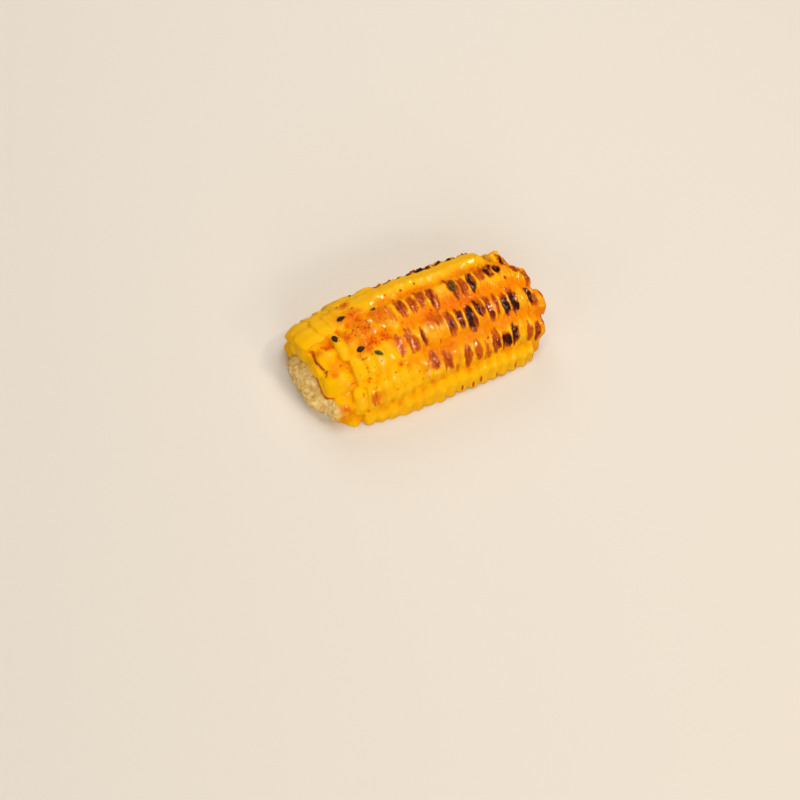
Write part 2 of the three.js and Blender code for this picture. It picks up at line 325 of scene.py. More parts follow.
def kernel_outline():
    """A rounded rectangle of half sizes 1, with its points spread evenly on a kernel's aspect."""
    turn = np.linspace(0, 2 * math.pi, 4001)
    u, v = squircle(turn)
    steps = np.hypot(np.diff(u), OUTLINE_ASPECT * np.diff(v))
    reached = np.concatenate([[0], np.cumsum(steps)])
    wanted = (np.arange(SEGMENTS) + 0.5) / SEGMENTS * reached[-1]
    return squircle(np.interp(wanted, reached, turn))


OUTLINE_U, OUTLINE_V = kernel_outline()


def crown_fall(kernel, tu, tv):
    """How far a point of a kernel's top lies below its level middle."""
    row, x = kernel.row, kernel.x
    burnt = min(scorch_of(kernel)[0], 1)
    shrunken = clamp01((x - SHRINK_START) / SHRINK_LENGTH) if row in SCORCH else 0
    level = 0.08 + 0.35 * burnt + 0.12 * scatter(kernel.index + 3, row + 60)
    side_level = SIDE_LEVEL - 0.1 * shrunken
    if kernel.first and row >= 0:
        side_level = FIRST_SIDE_LEVEL
    ends = np.clip((np.abs(tu) - level) / (1 - level), 0, 1)
    sides = np.clip((np.abs(tv) - side_level) / (1 - side_level), 0, 1)
    side_fall = SIDE_FALL + 0.9 * shrunken + 0.4 * kernel.first
    if row in SMOOTH_ROWS:
        end_fall = SMOOTH_ROWS[row] * (0.25 + 0.75 * clamp01((x - 8) / 16))
        side_fall -= 1.3 * clamp01((24 - x) / 12)
    else:
        end_fall = END_FALL - 0.85 * min(1.3 * burnt, 1) + 0.4 * kernel.first
    if row == -2:
        end_fall += 0.6 * clamp01((x - 24) / 8)
    fall = end_fall * ends**1.7 + side_fall * (0.5 * sides + 0.5 * smooth(sides * 1.15))
    along = (tu + 1) / 2
    if kernel.first:
        share = np.clip(1 - along / (BUTT_SLOPE * 1.25), 0, 1)
        fall += (BUTT_SLOPE_DEPTH - END_FALL) * share**1.4
    if kernel.last:
        fall += 2.6 * np.clip(along - 0.45, 0, 1) ** 2 / 0.3
    return np.minimum(fall, BUTT_SLOPE_DEPTH)


def kernel_solid(kernel):
    """A kernel's points, in rings from its root to the middle of its top, and its faces."""
    in_smooth_row = kernel.row in SMOOTH_ROWS
    overlap = 1.12 + 0.25 * clamp01((20 - kernel.x) / 8) if in_smooth_row else 1.04
    half_length, half_width = overlap * kernel.length / 2, kernel.radius * ROW_PITCH / 2
    free = (OUTLINE_U > 0) * kernel.last
    free = free + (OUTLINE_U < 0) * (kernel.first and not in_smooth_row)
    outline_u = OUTLINE_U * (1 - FREE_END_ROUNDING * free * np.abs(OUTLINE_V) ** 2.2)
    rings = []
    for inset in CROWN_INSETS:
        tu = outline_u * (1 - inset)
        tv = OUTLINE_V * (1 - inset * (1 - RIDGE_SHARE))
        rings.append((tu * half_length, tv * half_width, -crown_fall(kernel, tu, tv)))
    border = rings[0][2]
    root = kernel.radius - COB_RADIUS - 0.2
    for depth in (WAIST_DEPTH, root):
        size = 1 - depth / kernel.radius
        border = np.minimum(-depth, border - 0.3)
        length_share = 0.3 + 0.7 * size
        if kernel.first or kernel.last:
            length_share = 0.7 + 0.3 * size
        rings.insert(0, (outline_u * half_length * length_share,
                         OUTLINE_V * half_width * size, border))
    points = [
        kernel.top + np.outer(u, kernel.along) + np.outer(v, kernel.across)
        + np.outer(height, kernel.outward)
        for u, v, height in rings
    ]
    return np.concatenate(points), ring_faces(len(rings), SEGMENTS)


def ring_faces(count, segments):
    """Quads between neighbouring rings, and a zip of quads across the first and last one."""
    faces = []
    for ring, s in itertools.product(range(count - 1), range(segments)):
        a, b = ring * segments + s, ring * segments + (s + 1) % segments
        faces.append((a, b, b + segments, a + segments))
    last = (count - 1) * segments
    for s in range(segments // 2 - 1):
        a, b, c, d = s, s + 1, segments - 2 - s, segments - 1 - s
        faces.append((d, c, b, a))
        faces.append((last + a, last + b, last + c, last + d))
    return faces


# ---- Meshes ----


class Gathered:
    """Points, faces and values by point that join into one mesh."""

    def __init__(self, *names):
        self.points, self.faces, self.count = [], [], 0
        self.values = {name: [] for name in names}

    def add(self, points, faces, **values):
        self.faces.extend(tuple(i + self.count for i in face) for face in faces)
        self.points.append(points)
        self.count += len(points)
        for name, kept in self.values.items():
            kept.append(np.full(len(points), values[name]))

    def mesh(self, name):
        mesh = bpy.data.meshes.new(name)
        points = np.concatenate(self.points) * MM + np.array(EAR_ORIGIN)
        mesh.from_pydata(points.tolist(), [], self.faces)
        for key, kept in self.values.items():
            set_values(mesh, key, np.concatenate(kept))
        mesh.update()
        return mesh


def set_values(mesh, key, values):
    layer = mesh.attributes.new(key, "FLOAT", "POINT")
    layer.data.foreach_set("value", values.astype(np.float32))


def vectors_of(items, key):
    flat = np.zeros(len(items) * 3, np.float32)
    items.foreach_get(key, flat)
    return flat.reshape(-1, 3).astype(float)


def ear_points(mesh):
    """A mesh's points in the ear's frame, in millimetres."""
    return (vectors_of(mesh.vertices, "co") - np.array(EAR_ORIGIN)) / MM


def set_ear_points(mesh, points):
    flat = (points * MM + np.array(EAR_ORIGIN)).astype(np.float32).ravel()
    mesh.vertices.foreach_set("co", flat)
    mesh.update()


def fused(mesh, name):
    """One closed, softened skin round a mesh's overlapping solids."""
    loose = bpy.data.objects.new("loose", mesh)
    bpy.context.scene.collection.objects.link(loose)
    remesh = loose.modifiers.new("fuse", "REMESH")
    remesh.mode = "VOXEL"
    remesh.voxel_size = SKIN_GRAIN * MM
    soften = loose.modifiers.new("soften", "SMOOTH")
    soften.factor = 0.5
    soften.iterations = SOFTENING
    ready = loose.evaluated_get(bpy.context.evaluated_depsgraph_get())
    skin = bpy.data.meshes.new_from_object(ready)
    skin.name = name
    bpy.data.objects.remove(loose)
    bpy.data.meshes.remove(mesh)
    return skin


def drop_voids(work):
    """Drops the small closed voids that fusing leaves inside the skin."""
    unseen = set(work.verts)
    islands = []
    while unseen:
        island = [unseen.pop()]
        for vert in island:
            near = {edge.other_vert(vert) for edge in vert.link_edges} & unseen
            unseen -= near
            island.extend(near)
        islands.append(island)
    for island in sorted(islands, key=len)[:-1]:
        bmesh.ops.delete(work, geom=island, context="VERTS")


def cut_flat(mesh):
    """Cuts away what lies below the lengthwise cut, and closes the opening with a plain face."""
    work = bmesh.new()
    work.from_mesh(mesh)
    everything = list(work.verts) + list(work.edges) + list(work.faces)
    bmesh.ops.bisect_plane(work, geom=everything, dist=1e-7, plane_co=(0, 0, 0),
                           plane_no=(0, 0, -1), clear_outer=True)
    open_edges = [edge for edge in work.edges if edge.is_boundary]
    bmesh.ops.holes_fill(work, edges=open_edges, sides=0)
    drop_voids(work)
    on_cut = [vert for vert in work.verts if vert.co.z < ON_CUT]
    for key, value in CUT_LOOK.items():
        layer = work.verts.layers.float[key]
        for vert in on_cut:
            vert[layer] = value
    work.to_mesh(mesh)
    work.free()


def finish_piece(mesh, material, node=None):
    """Makes a piece named like its mesh, smooth but for the cut, and ties it to the CAD frame."""
    mesh.shade_smooth()
    for face in mesh.polygons:
        if face.center.z < ON_CUT:
            face.use_smooth = False
    mesh.materials.append(material)
    piece = bpy.data.objects.new(mesh.name, mesh)
    bpy.context.scene.collection.objects.link(piece)
    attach(piece, "root")
    if node:
        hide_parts(node)
    return piece


# ---- Kernel layer ----

# Orange patches on the skin: along X, row angle, spread, strength. Most are where chilli and sauce
# colour it; the two at (-1.5, 28) and (-3.6, 0), on the butt-facing slopes of the first kernels,
# are painted shade.
ORANGE_PATCHES = [
    (0.1, -1, 1.6, 1.2), (6.6, 0, 2.2, 0.8), (11.7, 14, 2.6, 0.8), (14, 12, 2.4, 0.8),
    (12.4, -36, 2.2, 0.9), (12.4, -19, 3.0, 0.6), (13.5, -3, 3.2, 0.7), (20.2, -8, 3.2, 0.7),
    (17.7, 12, 2.2, 0.8), (34.8, 12.5, 2.4, 1.4), (38.3, 40, 1.6, 0.5), (49.1, 8, 3.0, 0.6),
    (9.0, 60, 2.0, 0.9), (31.1, 47, 1.8, 1.1), (34.6, 48, 1.8, 1.0), (55, 18, 3.0, 0.4),
    (43, 5, 3.0, 0.4), (22, 23, 3.6, 0.6), (-1.5, 64, 1.6, 0.9), (-1.5, 28, 1.4, 0.5),
    (-3.6, 0, 1.8, 0.5),
]
# Dark marks on the skin: along X, row angle, half sizes along and across, strength. The three at
# (-3.2, 21.5), (0.5, 52) and (1.6, 21), in the creases between the first kernels, are painted
# shade.
DARK_MARKS = [
    (65, 1, 0.7, 0.7, 0.7), (45.8, 56.2, 0.5, 0.6, 0.8), (71.6, -4, 0.4, 3.5, 0.55),
    (72.1, 30, 0.5, 3.6, 0.6), (75.3, 26, 0.6, 2.6, 0.5), (72.6, 52, 0.5, 2.4, 0.5),
    (39.4, 84, 0.4, 1.9, 0.5), (43.4, 84, 0.5, 2.0, 0.5), (46.6, 83, 0.4, 2.2, 0.5),
    (52.3, 84, 0.4, 1.8, 0.45), (59.9, 83, 0.5, 2.0, 0.5), (67.5, 82, 0.7, 2.4, 0.6),
    (-3.2, 21.5, 1.4, 0.35, 0.4), (0.5, 52, 2.2, 0.3, 0.2),
    (26, -26, 0.4, 0.5, 0.5), (31.5, -25, 0.5, 0.6, 0.5), (37, -27, 0.5, 0.5, 0.55),
    (1.6, 21, 0.6, 0.4, 0.4), (3.2, 42, 1.6, 0.3, 0.3), (34.8, 12.4, 2.4, 1.5, 0.3),
    (31.1, 47, 1.7, 2.0, 0.3), (34.7, 48.5, 1.2, 2.4, 0.42), (34.9, 34, 0.3, 1.4, 0.5),
    (8.6, 24, 1.6, 0.25, 0.5), (9.2, 60, 1.0, 1.8, 0.22), (5.2, 55, 0.8, 1.2, 0.2),
]
# Pale marks where the skin has lifted or split, in the same order; the first two are painted
# highlights on kernel tops.
PALE_MARKS = [
    (13.3, 31, 1.3, 1.9, 0.6), (27.6, 54.2, 1.0, 1.5, 0.5), (30.7, 44.8, 0.7, 0.7, 0.5),
    (4.2, 60, 0.8, 1.4, 0.3), (1.6, 42, 0.8, 1.6, 0.3), (36.6, 22, 0.5, 1.6, 0.5),
]
# Hollows in the skin: their depth comes last.
HOLLOWS = [
    (34.8, 12.4, 2.2, 1.6, 0.5), (9.0, 60, 1.5, 3.0, 0.5), (65.8, -36.8, 1.5, 5, 4.2),
    (65.9, -57, 1.5, 8, 4.8), (-1.2, 64, 1.4, 3.0, 0.6), (32.9, 46, 0.6, 3.0, 0.7),
]
# A kernel that has burst: its slit runs across the row, and its skin has lifted beside it.
SLIT_X = 29.3
SLIT_ANGLES = (12.5, 35.5)
SLIT_HALF_WIDTH = 0.95
SLIT_DEPTH = 1.9
LIFTED_SKIN = (32.7, 20.5, 2.6, 2.8)
# Kernels whose skins have dried in fine folds, by row and index, and how strong the folds are.
WRINKLED = {(1, 5): 0.5, (1, 6): 0.6, (0, 3): 0.3, (0, 4): 0.3, (0, 5): 0.35, (0, 6): 0.3}
# At the butt, by row angle: how far the lip stands out from the cob and how far it bulges, where
# its crease with the first kernels runs, and how far out the pale, pith-like stuff reaches.
LIP_HEIGHT = ([-60, 6, 22, 38, 50, 57], [4.3, 4.3, 3.4, 3.6, 4.2, 0.4])
LIP_BULGE = ([-90, -60, 6, 24, 46, 56], [0.4, 0.9, 1.0, 0.3, 0.5, 0.0])
CREASE_RADIUS = ([-20, 0, 10, 22, 45], [16.2, 16.4, 16.6, 16.4, 16.2])
PITH_REACH = ([20, 40, 46, 51, 55, 61, 68, 80], [10.9, 10.9, 11.6, 14, 16.5, 18.5, 20, 21])
# The bare end of the cob lies behind this row angle, past the last kernels of the back rows.
BARE_ANGLE, BARE_START = -28, 65
SOCKET_PITCH = 3.3


def polar(points):
    """Distance from the ear's axis, and the row angle in degrees."""
    return (
        np.hypot(points[:, 1], points[:, 2]),
        np.degrees(np.arctan2(-points[:, 1], points[:, 2])),
    )


class Skin:
    """The skin's points, the kernel that each lies on, and where on its top: tu along the row
    and tv across it, from -1 to 1, and 9 off every kernel."""

    def __init__(self, points, kernels):
        self.points, self.kernels = points, kernels
        self.x = points[:, 0]
        self.radius, self.angle = polar(points)
        self.number = np.full(len(points), -1)
        self.tu, self.tv = np.full(len(points), 9.0), np.full(len(points), 9.0)
        for number, kernel in enumerate(kernels):
            near = np.flatnonzero(np.abs(self.x - kernel.x) < kernel.length)
            away = points[near] - kernel.top
            tu = away @ kernel.along / (kernel.length / 2)
            tv = away @ kernel.across / (kernel.radius * ROW_PITCH / 2)
            worst = np.maximum(np.abs(tu), np.abs(tv))
            known = np.maximum(np.abs(self.tu[near]), np.abs(self.tv[near]))
            better = (worst < known) & (away @ kernel.outward > -6)
            chosen = near[better]
            self.number[chosen] = number
            self.tu[chosen], self.tv[chosen] = tu[better], tv[better]

    def spread(self, value_of, other=0.0):
        """A value for each kernel, on its points, and another one off the kernels."""
        return np.array([value_of(kernel) for kernel in self.kernels] + [other])[self.number]

    def chance(self, seed, row_seed=None):
        """A repeatable number from 0 to 1 for each kernel."""
        row_seed = seed if row_seed is None else row_seed
        return self.spread(lambda kernel: scatter(kernel.index + seed, kernel.row + row_seed))

    def burnt(self):
        return self.spread(lambda kernel: scorch_of(kernel)[0])

    def side(self):
        return self.spread(lambda kernel: scorch_of(kernel)[1])

    def folds(self):
        return self.spread(lambda kernel: WRINKLED.get((kernel.row, kernel.index), 0))


def mark_on(skin, x, angle, along, across):
    """A soft mark on the skin: 1 in its middle and 0 at its rim, its half sizes in millimetres."""
    away = np.hypot((skin.x - x) / along, np.radians(skin.angle - angle) * EAR_RADIUS / across)
    return smooth((1 - away) * 1.8)


def slit_on(skin):
    """Places a point by the burst kernel's slit: 0 in its middle, -1 and 1 at its edges."""
    start, end = SLIT_ANGLES
    share = np.clip((skin.angle - start) / (end - start), 0, 1)
    width = SLIT_HALF_WIDTH * np.sin(math.pi * share**1.5) + 0.02
    middle = SLIT_X + 0.55 * share
    inside = (skin.angle > start) & (skin.angle < end)
    return np.where(inside, (skin.x - middle) / width, 9.0)


def lifted_on(skin):
    """The lifted skin beside the slit, from 0 to 1."""
    return smooth(3 * mark_on(skin, *LIFTED_SKIN)) * (np.abs(slit_on(skin)) > 1)


def at_butt(skin, start=-4.6, end=-3):
    return smooth((end - skin.x) / (end - start))


def bare_on(skin):
    """The bare end of the cob past the last kernels of the back rows, from 0 to 1."""
    behind = (BARE_ANGLE - skin.angle) / 4 + 3 * (skin.x > 71)
    along = smooth((skin.x - BARE_START) / 1.5)
    return along * smooth(behind) * smooth((BARE_ANGLE - skin.angle) / 8)


def torn_edge_on(skin):
    """The burnt edge where a kernel's skin has torn off the pith, from 0 to 1."""
    ragged = 0.8 * (noise(skin.points, 1.2, 29) - 0.5)
    beyond = skin.radius - np.interp(skin.angle, *PITH_REACH) - 1.4 - ragged
    along = smooth((skin.angle - 19) / 4) * smooth((55 - skin.angle) / 3)
    return smooth(1.7 - np.abs(beyond) / 0.9) * along * at_butt(skin, -4.2, -2.8)


def lip_crease_on(skin):
    """The crease between the lip and the first kernels, from 0 to 1, where the skin is sunk and
    darkened with painted shade.
    """
    away = np.abs(skin.radius - np.interp(skin.angle, *CREASE_RADIUS))
    along = smooth((skin.angle + 14) / 10) * smooth((30 - skin.angle) / 8)
    return smooth(1.4 - away / 0.5) * along * at_butt(skin, -4.2, -2.6)


def streaks_on(skin):
    """Uneven streaks that run across each kernel, from -0.5 to 0.5."""
    own = 50 * skin.chance(76)
    return noise(np.stack([skin.tu * 3.4, skin.tv * 2.6, own], axis=1), 1, 17) - 0.5


def fold_lines(skin):
    """Fine dry folds that run across a kernel: 1 in a fold and 0 between folds."""
    stretched = np.stack([skin.tu * 1.5, skin.tv * 1.6, skin.x / 9], axis=1)
    ridge = np.abs(noise(stretched, 0.62, 83) - 0.5)
    return smooth((0.085 - ridge) / 0.06) * smooth(noise(skin.points, 1.5, 89) * 2.4 - 0.5)


def orange_on(skin):
    """How orange the skin is, from 0 to more than 1 where it turns red."""
    arc = np.radians(1) * EAR_RADIUS
    total = np.zeros(len(skin.x))
    for x, at, spread, strength in ORANGE_PATCHES:
        away = np.hypot(skin.x - x, (skin.angle - at) * arc) / spread
        total = np.maximum(total, strength * np.exp(-(away**2)))
    total *= 0.6 + 0.8 * noise(skin.points, 1.1, 61)
    depth = ear_radius(skin.x) - skin.radius
    # Deeper orange in the valleys between the rows is painted shade and glow.
    valley = 0.32 * smooth((depth - 0.6) / 1.5) * (1 - at_butt(skin, -3, -1))
    grilled = 0.28 * smooth((skin.x - 16) / 16) * smooth((50 - np.abs(skin.angle - 18)) / 22)
    glazed = 0.26 * smooth((26 - np.abs(skin.angle + 6)) / 14) * smooth((skin.x - 2) / 6)
    # Less orange on the raised rims of scorched kernels: a painted highlight.
    rim = smooth((np.abs(skin.tu) - 0.8) / 0.15) * smooth((0.72 - np.abs(skin.tv)) / 0.3)
    own = skin.spread(lambda kernel: scatter(kernel.index + 9, kernel.row + 77) - 0.5)
    return total + valley + np.maximum(grilled, glazed) - 0.6 * rim * skin.burnt() + 0.22 * own


def pale_on(skin):
    """How pale the skin is: at the kernels' bases next to the cob, where it has lifted, and in two
    painted highlights.
    """
    ragged = 1.6 * (noise(skin.points, 1.6, 23) - 0.5)
    softness = 0.8 + 2.2 * smooth((skin.angle - 50) / 10)
    within = np.interp(skin.angle, *PITH_REACH) + ragged - skin.radius
    pale = smooth(within / softness + 0.5)
    pale *= at_butt(skin, -4.4, -1.6)
    # The first two PALE_MARKS are painted highlights.
    for *mark, strength in PALE_MARKS:
        pale = np.maximum(pale, strength * mark_on(skin, *mark))
    split = smooth(1.6 * noise(skin.points, 1.6, 67) - 0.4)
    pale = np.maximum(pale, lifted_on(skin) * split * 0.6)
    chaff = smooth(1.6 * noise(skin.points, 1.8, 71) - 0.3)
    return np.maximum(pale, 0.22 * bare_on(skin) * chaff)


def wet_on(skin, scorch_and_crease_shade):
    """How wet the skin looks: most on scorched tops, least in the valleys between the rows."""
    depth = ear_radius(skin.x) - skin.radius
    valley = smooth((depth - 0.6) / 0.9) * (scorch_and_crease_shade < 0.2)
    return 1 - 0.8 * valley + 0.5 * smooth(scorch_and_crease_shade / 0.4)


def scorch_and_crease_shade_on(skin):
    """Scorch on the kernels' raised tops, an uneven leaf on each that is darkest in its middle,
    with painted shade in the creases at the butt.
    """
    points = skin.points
    side = skin.side() + 0.25 * (skin.chance(71) - 0.5)
    reach = (0.66 + 0.22 * skin.chance(72)) * (1 - 0.4 * np.abs(side))
    width = 0.84 + 0.2 * skin.chance(73)
    lean = 0.5 * (skin.chance(75) - 0.5)
    shift = 0.2 * (skin.chance(74) - 0.5) + lean * (skin.tv - side)
    leaf = (1 - (np.abs(skin.tv - side) / reach) ** 2.2
            - (np.abs(skin.tu - shift) / width) ** 2.2)
    streaks = streaks_on(skin)
    wobble = noise(points, 1.5, 19) - 0.5
    halo = smooth(0.4 + 1.8 * leaf + 0.6 * wobble)
    core = smooth(0.05 + 1.2 * leaf + 1.0 * streaks + 0.5 * wobble)
    darker_end = 1 + 0.45 * (skin.chance(77) - 0.3) * np.clip((skin.tv - side) / reach, -1, 1)
    scorch_and_crease_shade = skin.burnt() * (0.36 * halo + 0.74 * core) * darker_end * (1 + 1.1 * streaks)
    # Dark marks, among them painted shade in the creases between the first kernels.
    for *mark, strength in DARK_MARKS:
        scorch_and_crease_shade = np.maximum(scorch_and_crease_shade, strength * mark_on(skin, *mark))
    inside = smooth((0.85 - np.abs(skin.tu)) / 0.3) * smooth((0.8 - np.abs(skin.tv)) / 0.3)
    scorch_and_crease_shade = np.maximum(scorch_and_crease_shade, skin.folds() * inside * fold_lines(skin))
    scorch_and_crease_shade = np.maximum(scorch_and_crease_shade, 0.4 * torn_edge_on(skin))
    # Painted shade in the crease between the lip and the first kernels.
    scorch_and_crease_shade = np.maximum(scorch_and_crease_shade, 0.36 * lip_crease_on(skin))
    slit = slit_on(skin)
    cavity = np.where(slit < -0.35, 0.72, np.interp(slit, [-0.35, 0.2, 1], [0.55, 0.36, 0.28]))
    return np.where(np.abs(slit) < 1, cavity, scorch_and_crease_shade)


def relief_on(skin):
    """Dimples, sunken tops and wrinkled skin, in millimetres outwards."""
    points = skin.points
    burnt = np.minimum(skin.burnt(), 0.85)
    smoothness = skin.spread(lambda kernel: 0.4 if kernel.row == -1 else 1, 1)
    tu, tv = np.clip(skin.tu, -1, 1), np.clip(skin.tv, -1, 1)
    middle = (1 - tu**2) * (1 - tv**2)
    dish = 2.2 * (1 - np.abs(tu / 0.8) ** 2.6 - np.abs((tv - skin.side()) / 0.74) ** 2.6)
    lumps = noise(points, 2.2, 3) - 0.5
    wrinkles = noise(points * np.array([1.6, 1, 1]), 0.95, 9) - 0.5
    relief = -0.45 * skin.chance(31, 5) ** 2 * middle**1.5
    relief -= np.where(burnt > 0.2, 0.45 + 0.6 * burnt, 0) * smooth(dish)
    relief += 0.4 * smoothness * lumps + 0.5 * (0.15 + burnt) * wrinkles * smooth(middle * 3)
    relief += 1.5 * burnt * streaks_on(skin) * smooth(middle * 3)
    relief -= 0.7 * skin.folds() * fold_lines(skin) * smooth(middle * 2)
    relief += 0.5 * torn_edge_on(skin) - 0.6 * lip_crease_on(skin)
    first = skin.spread(lambda kernel: float(kernel.first and kernel.row >= 0))
    relief -= 0.7 * first * smooth((np.abs(skin.tv) - 0.72) / 0.28)
    base = at_butt(skin, -4.2, -3) * (skin.radius < np.interp(skin.angle, *PITH_REACH))
    relief += base * 1.3 * (noise(points, 1.2, 37) - 0.4)
    relief = np.where(skin.number >= 0, relief, 0.35 * lumps)
    sockets = np.cos(2 * math.pi * skin.x / SOCKET_PITCH) * np.cos(np.radians(skin.angle * 12))
    relief += bare_on(skin) * (0.5 * sockets + 1.4 * (noise(points, 1.1, 43) - 0.5))
    for *mark, depth in HOLLOWS:
        relief -= depth * mark_on(skin, *mark)
    relief -= SLIT_DEPTH * smooth((1 - np.abs(slit_on(skin))) * 1.6)
    relief -= lifted_on(skin) * (0.15 + 0.35 * noise(points, 1.4, 67))
    return relief * smooth((skin.radius - COB_RADIUS - 0.4) / 1.0)


def kernel_bed():
    """The bed that the kernels stand in: rather more than half a shell, with a lip at the butt."""
    around = 200
    turns = np.linspace(-math.pi / 2 - 0.12, math.pi / 2 + 0.12, around)
    angles = np.degrees(turns)
    lip = np.interp(angles, *LIP_HEIGHT)
    bulge = np.interp(angles, *LIP_BULGE)
    bulge = bulge + 0.25 * np.cos(np.radians((angles + 20) * 12)) * smooth((20 - angles) / 20)
    inner = COB_RADIUS - BED_INSET
    level = np.full(around, 1.0)
    rings = [
        (BED_START + 0.2 * level, inner * level),
        (BED_START - 0.7 * bulge, inner + 0.25 * level),
        (BED_START - bulge, inner + 0.25 + 0.35 * lip),
        (BED_START - 0.9 * bulge, inner + 0.25 + 0.75 * lip),
        (BED_START - 0.3 * bulge, inner + 0.4 + 1.05 * lip),
        (BED_START + 0.9 * level, inner + 0.5 + 1.15 * lip),
        (BED_START + 1.3 * level, np.maximum(15.6 * level, inner + 0.6 + 1.2 * lip)),
        (BED_START + 2.4 * level, 16.2 * level),
    ]
    for x in np.linspace(0.5, COB_END - 1.5, 60):
        depth = VALLEY_DEPTH - 0.35 * float(smooth((x - 20) / 14))
        depth = depth - 1.2 * smooth((24 - x) / 10) * smooth((-20 - angles) / 8)
        rings.append((x * level, float(ear_radius(x)) - depth))
    rings += [((COB_END - 0.6) * level, (COB_RADIUS + 4) * level),
              ((COB_END - 0.6) * level, COB_RADIUS * level),
              ((BED_START + 0.6) * level, inner * level)]
    points = np.concatenate([
        np.stack([x, -r * np.sin(turns), r * np.cos(turns)], axis=1) for x, r in rings
    ])
    radius, _ = polar(points)
    lumps = noise(points, 2.2, 21) - 0.5
    points[:, 0] -= smooth((-2 - points[:, 0]) / 2) * 0.9 * lumps
    points[:, 1:] *= (1 + 0.8 * lumps * (radius > COB_RADIUS - 0.05) / radius)[:, None]
    count = len(rings)
    faces = []
    for ring, s in itertools.product(range(count), range(around - 1)):
        a, b = ring * around + s, (ring + 1) % count * around + s
        faces.append((a, a + 1, b + 1, b))
    faces.append(tuple(ring * around for ring in range(count)))
    faces.append(tuple(ring * around + around - 1 for ring in reversed(range(count))))
    return points, faces


def make_kernels():
    kernels = [kernel for kernel in all_kernels() if kernel.top[2] > LOWEST_TOP]
    gathered = Gathered()
    gathered.add(*kernel_bed())
    for kernel in kernels:
        gathered.add(*kernel_solid(kernel))
    mesh = fused(gathered.mesh("kernels_loose"), "kernels_skin")
    skin = Skin(ear_points(mesh), kernels)
    normals = vectors_of(mesh.vertex_normals, "vector")
    set_ear_points(mesh, skin.points + relief_on(skin)[:, None] * normals)
    scorch_and_crease_shade = scorch_and_crease_shade_on(skin)
    set_values(mesh, "scorch_and_crease_shade", scorch_and_crease_shade)
    set_values(mesh, "orange", orange_on(skin))
    set_values(mesh, "pale", pale_on(skin))
    set_values(mesh, "wet", wet_on(skin, scorch_and_crease_shade))
    cut_flat(mesh)
    return finish_piece(mesh, kernel_material(), "kernels")


# ---- Cob ----


def make_cob():
    """The pale core: a crumbled dome of pith at the butt, a rough tip end, a flat underside."""
    around, dome_steps, side_steps, tip_steps = 180, 60, 12, 20
    turns = np.linspace(-math.pi / 2, math.pi / 2, around)
    radius = COB_RADIUS - COB_CLEARANCE
    dome_start = BED_START - 0.2
    profile = []
    for n in range(dome_steps + 1):
        turn = n / dome_steps * math.pi / 2
        profile.append((dome_start - BUTT_STUB * math.cos(turn), radius * math.sin(turn) ** 0.8))
    profile += [(x, radius) for x in np.linspace(dome_start + 2, COB_END - 0.5, side_steps)]
    profile += [(COB_END + 0.6, r) for r in np.linspace(radius - 0.6, 0, tip_steps)]
    rings = []
    for x, r in profile:
        r = max(r, 0.01)
        rings.append(np.stack([np.full(around, x), -r * np.sin(turns), r * np.cos(turns)], axis=1))
    points = np.concatenate(rings)
    rough = np.where(points[:, 0] < dome_start + 0.4, 1, 0) + (points[:, 0] > COB_END + 0.3)
    coarse = noise(points, 2.6, 31) - 0.5
    fine = noise(points, 1.1, 37) - 0.5
    grain = noise(points, 0.6, 41) - 0.5
    points[:, 0] -= rough * (1.2 * coarse + 1.1 * fine + 0.6 * grain)
    points[:, 2] *= 1 + 0.02 * rough * fine
    faces = []
    for ring, s in itertools.product(range(len(profile) - 1), range(around - 1)):
        a, b = ring * around + s, (ring + 1) * around + s
        faces.append((a, b, b + 1, a + 1))
    left = [ring * around for ring in range(len(profile))]
    right = [ring * around + around - 1 for ring in range(len(profile))]
    faces.append(tuple(right + left[::-1]))
    faces.append(tuple(range(around)))
    faces.append(tuple(range(len(points) - 1, len(points) - 1 - around, -1)))
    gathered = Gathered()
    gathered.add(points, faces)
    finish_piece(gathered.mesh("cob_pith"), cob_material(), "cob")


# ---- Seeds, flakes and chilli ----

# The seeds by place along X, row angle and turn in degrees, the flakes by their scale as well, and
# the crumbs in clusters: along X, row angle, spread, number. Sizes are length, width and height.
SESAME_SIZE = (3.1, 1.8, 0.9)
SEAWEED_SIZE = (3.4, 1.3, 0.3)
SESAME = [(3.1, -3.5, -85), (9.1, 14.5, 0), (8.6, -20, 5)]
SEAWEED = [(13.4, 24, -35, 1), (19.5, -16, 40, 0.9), (46.6, -7.5, 80, 1.4), (5, -7.5, 10, 0.4),
           (18.4, -54.5, 60, 0.7)]
CHILLI_CLUSTERS = [
    (0.1, -1, 1.5, 26), (6.6, -0.5, 2.2, 26), (11.7, 15.5, 2.4, 18), (13.9, 13, 2.2, 18),
    (12.4, -36, 2.0, 18), (12.4, -19, 3.0, 20), (12.7, -3.5, 4.0, 40), (20.2, -8, 4.0, 34),
    (17.7, 12.5, 2.5, 20), (35.1, 13, 3.0, 8), (38.3, 40.5, 2.5, 6), (49.1, 8, 4.0, 16),
    (30, 0, 8.0, 30), (8, 40, 6.0, 18), (60, 20, 9.0, 24), (20, 50, 10.0, 20),
]


def surface_frame(tree, x, angle):
    """Where a line from outside at x and a row angle meets the kernels, and the frame there."""
    turn = math.radians(angle)
    radial = Vector((0, -math.sin(turn), math.cos(turn)))
    start = EAR_ORIGIN + (Vector((x, 0, 0)) + radial * 2 * EAR_RADIUS) * MM
    point, normal, _, _ = tree.ray_cast(start, -radial)
    if point is None:
        return None
    normal = (normal + radial).normalized()
    along = Vector((1, 0, 0)) - normal.x * normal
    return (point - EAR_ORIGIN) / MM, normal, along.normalized()


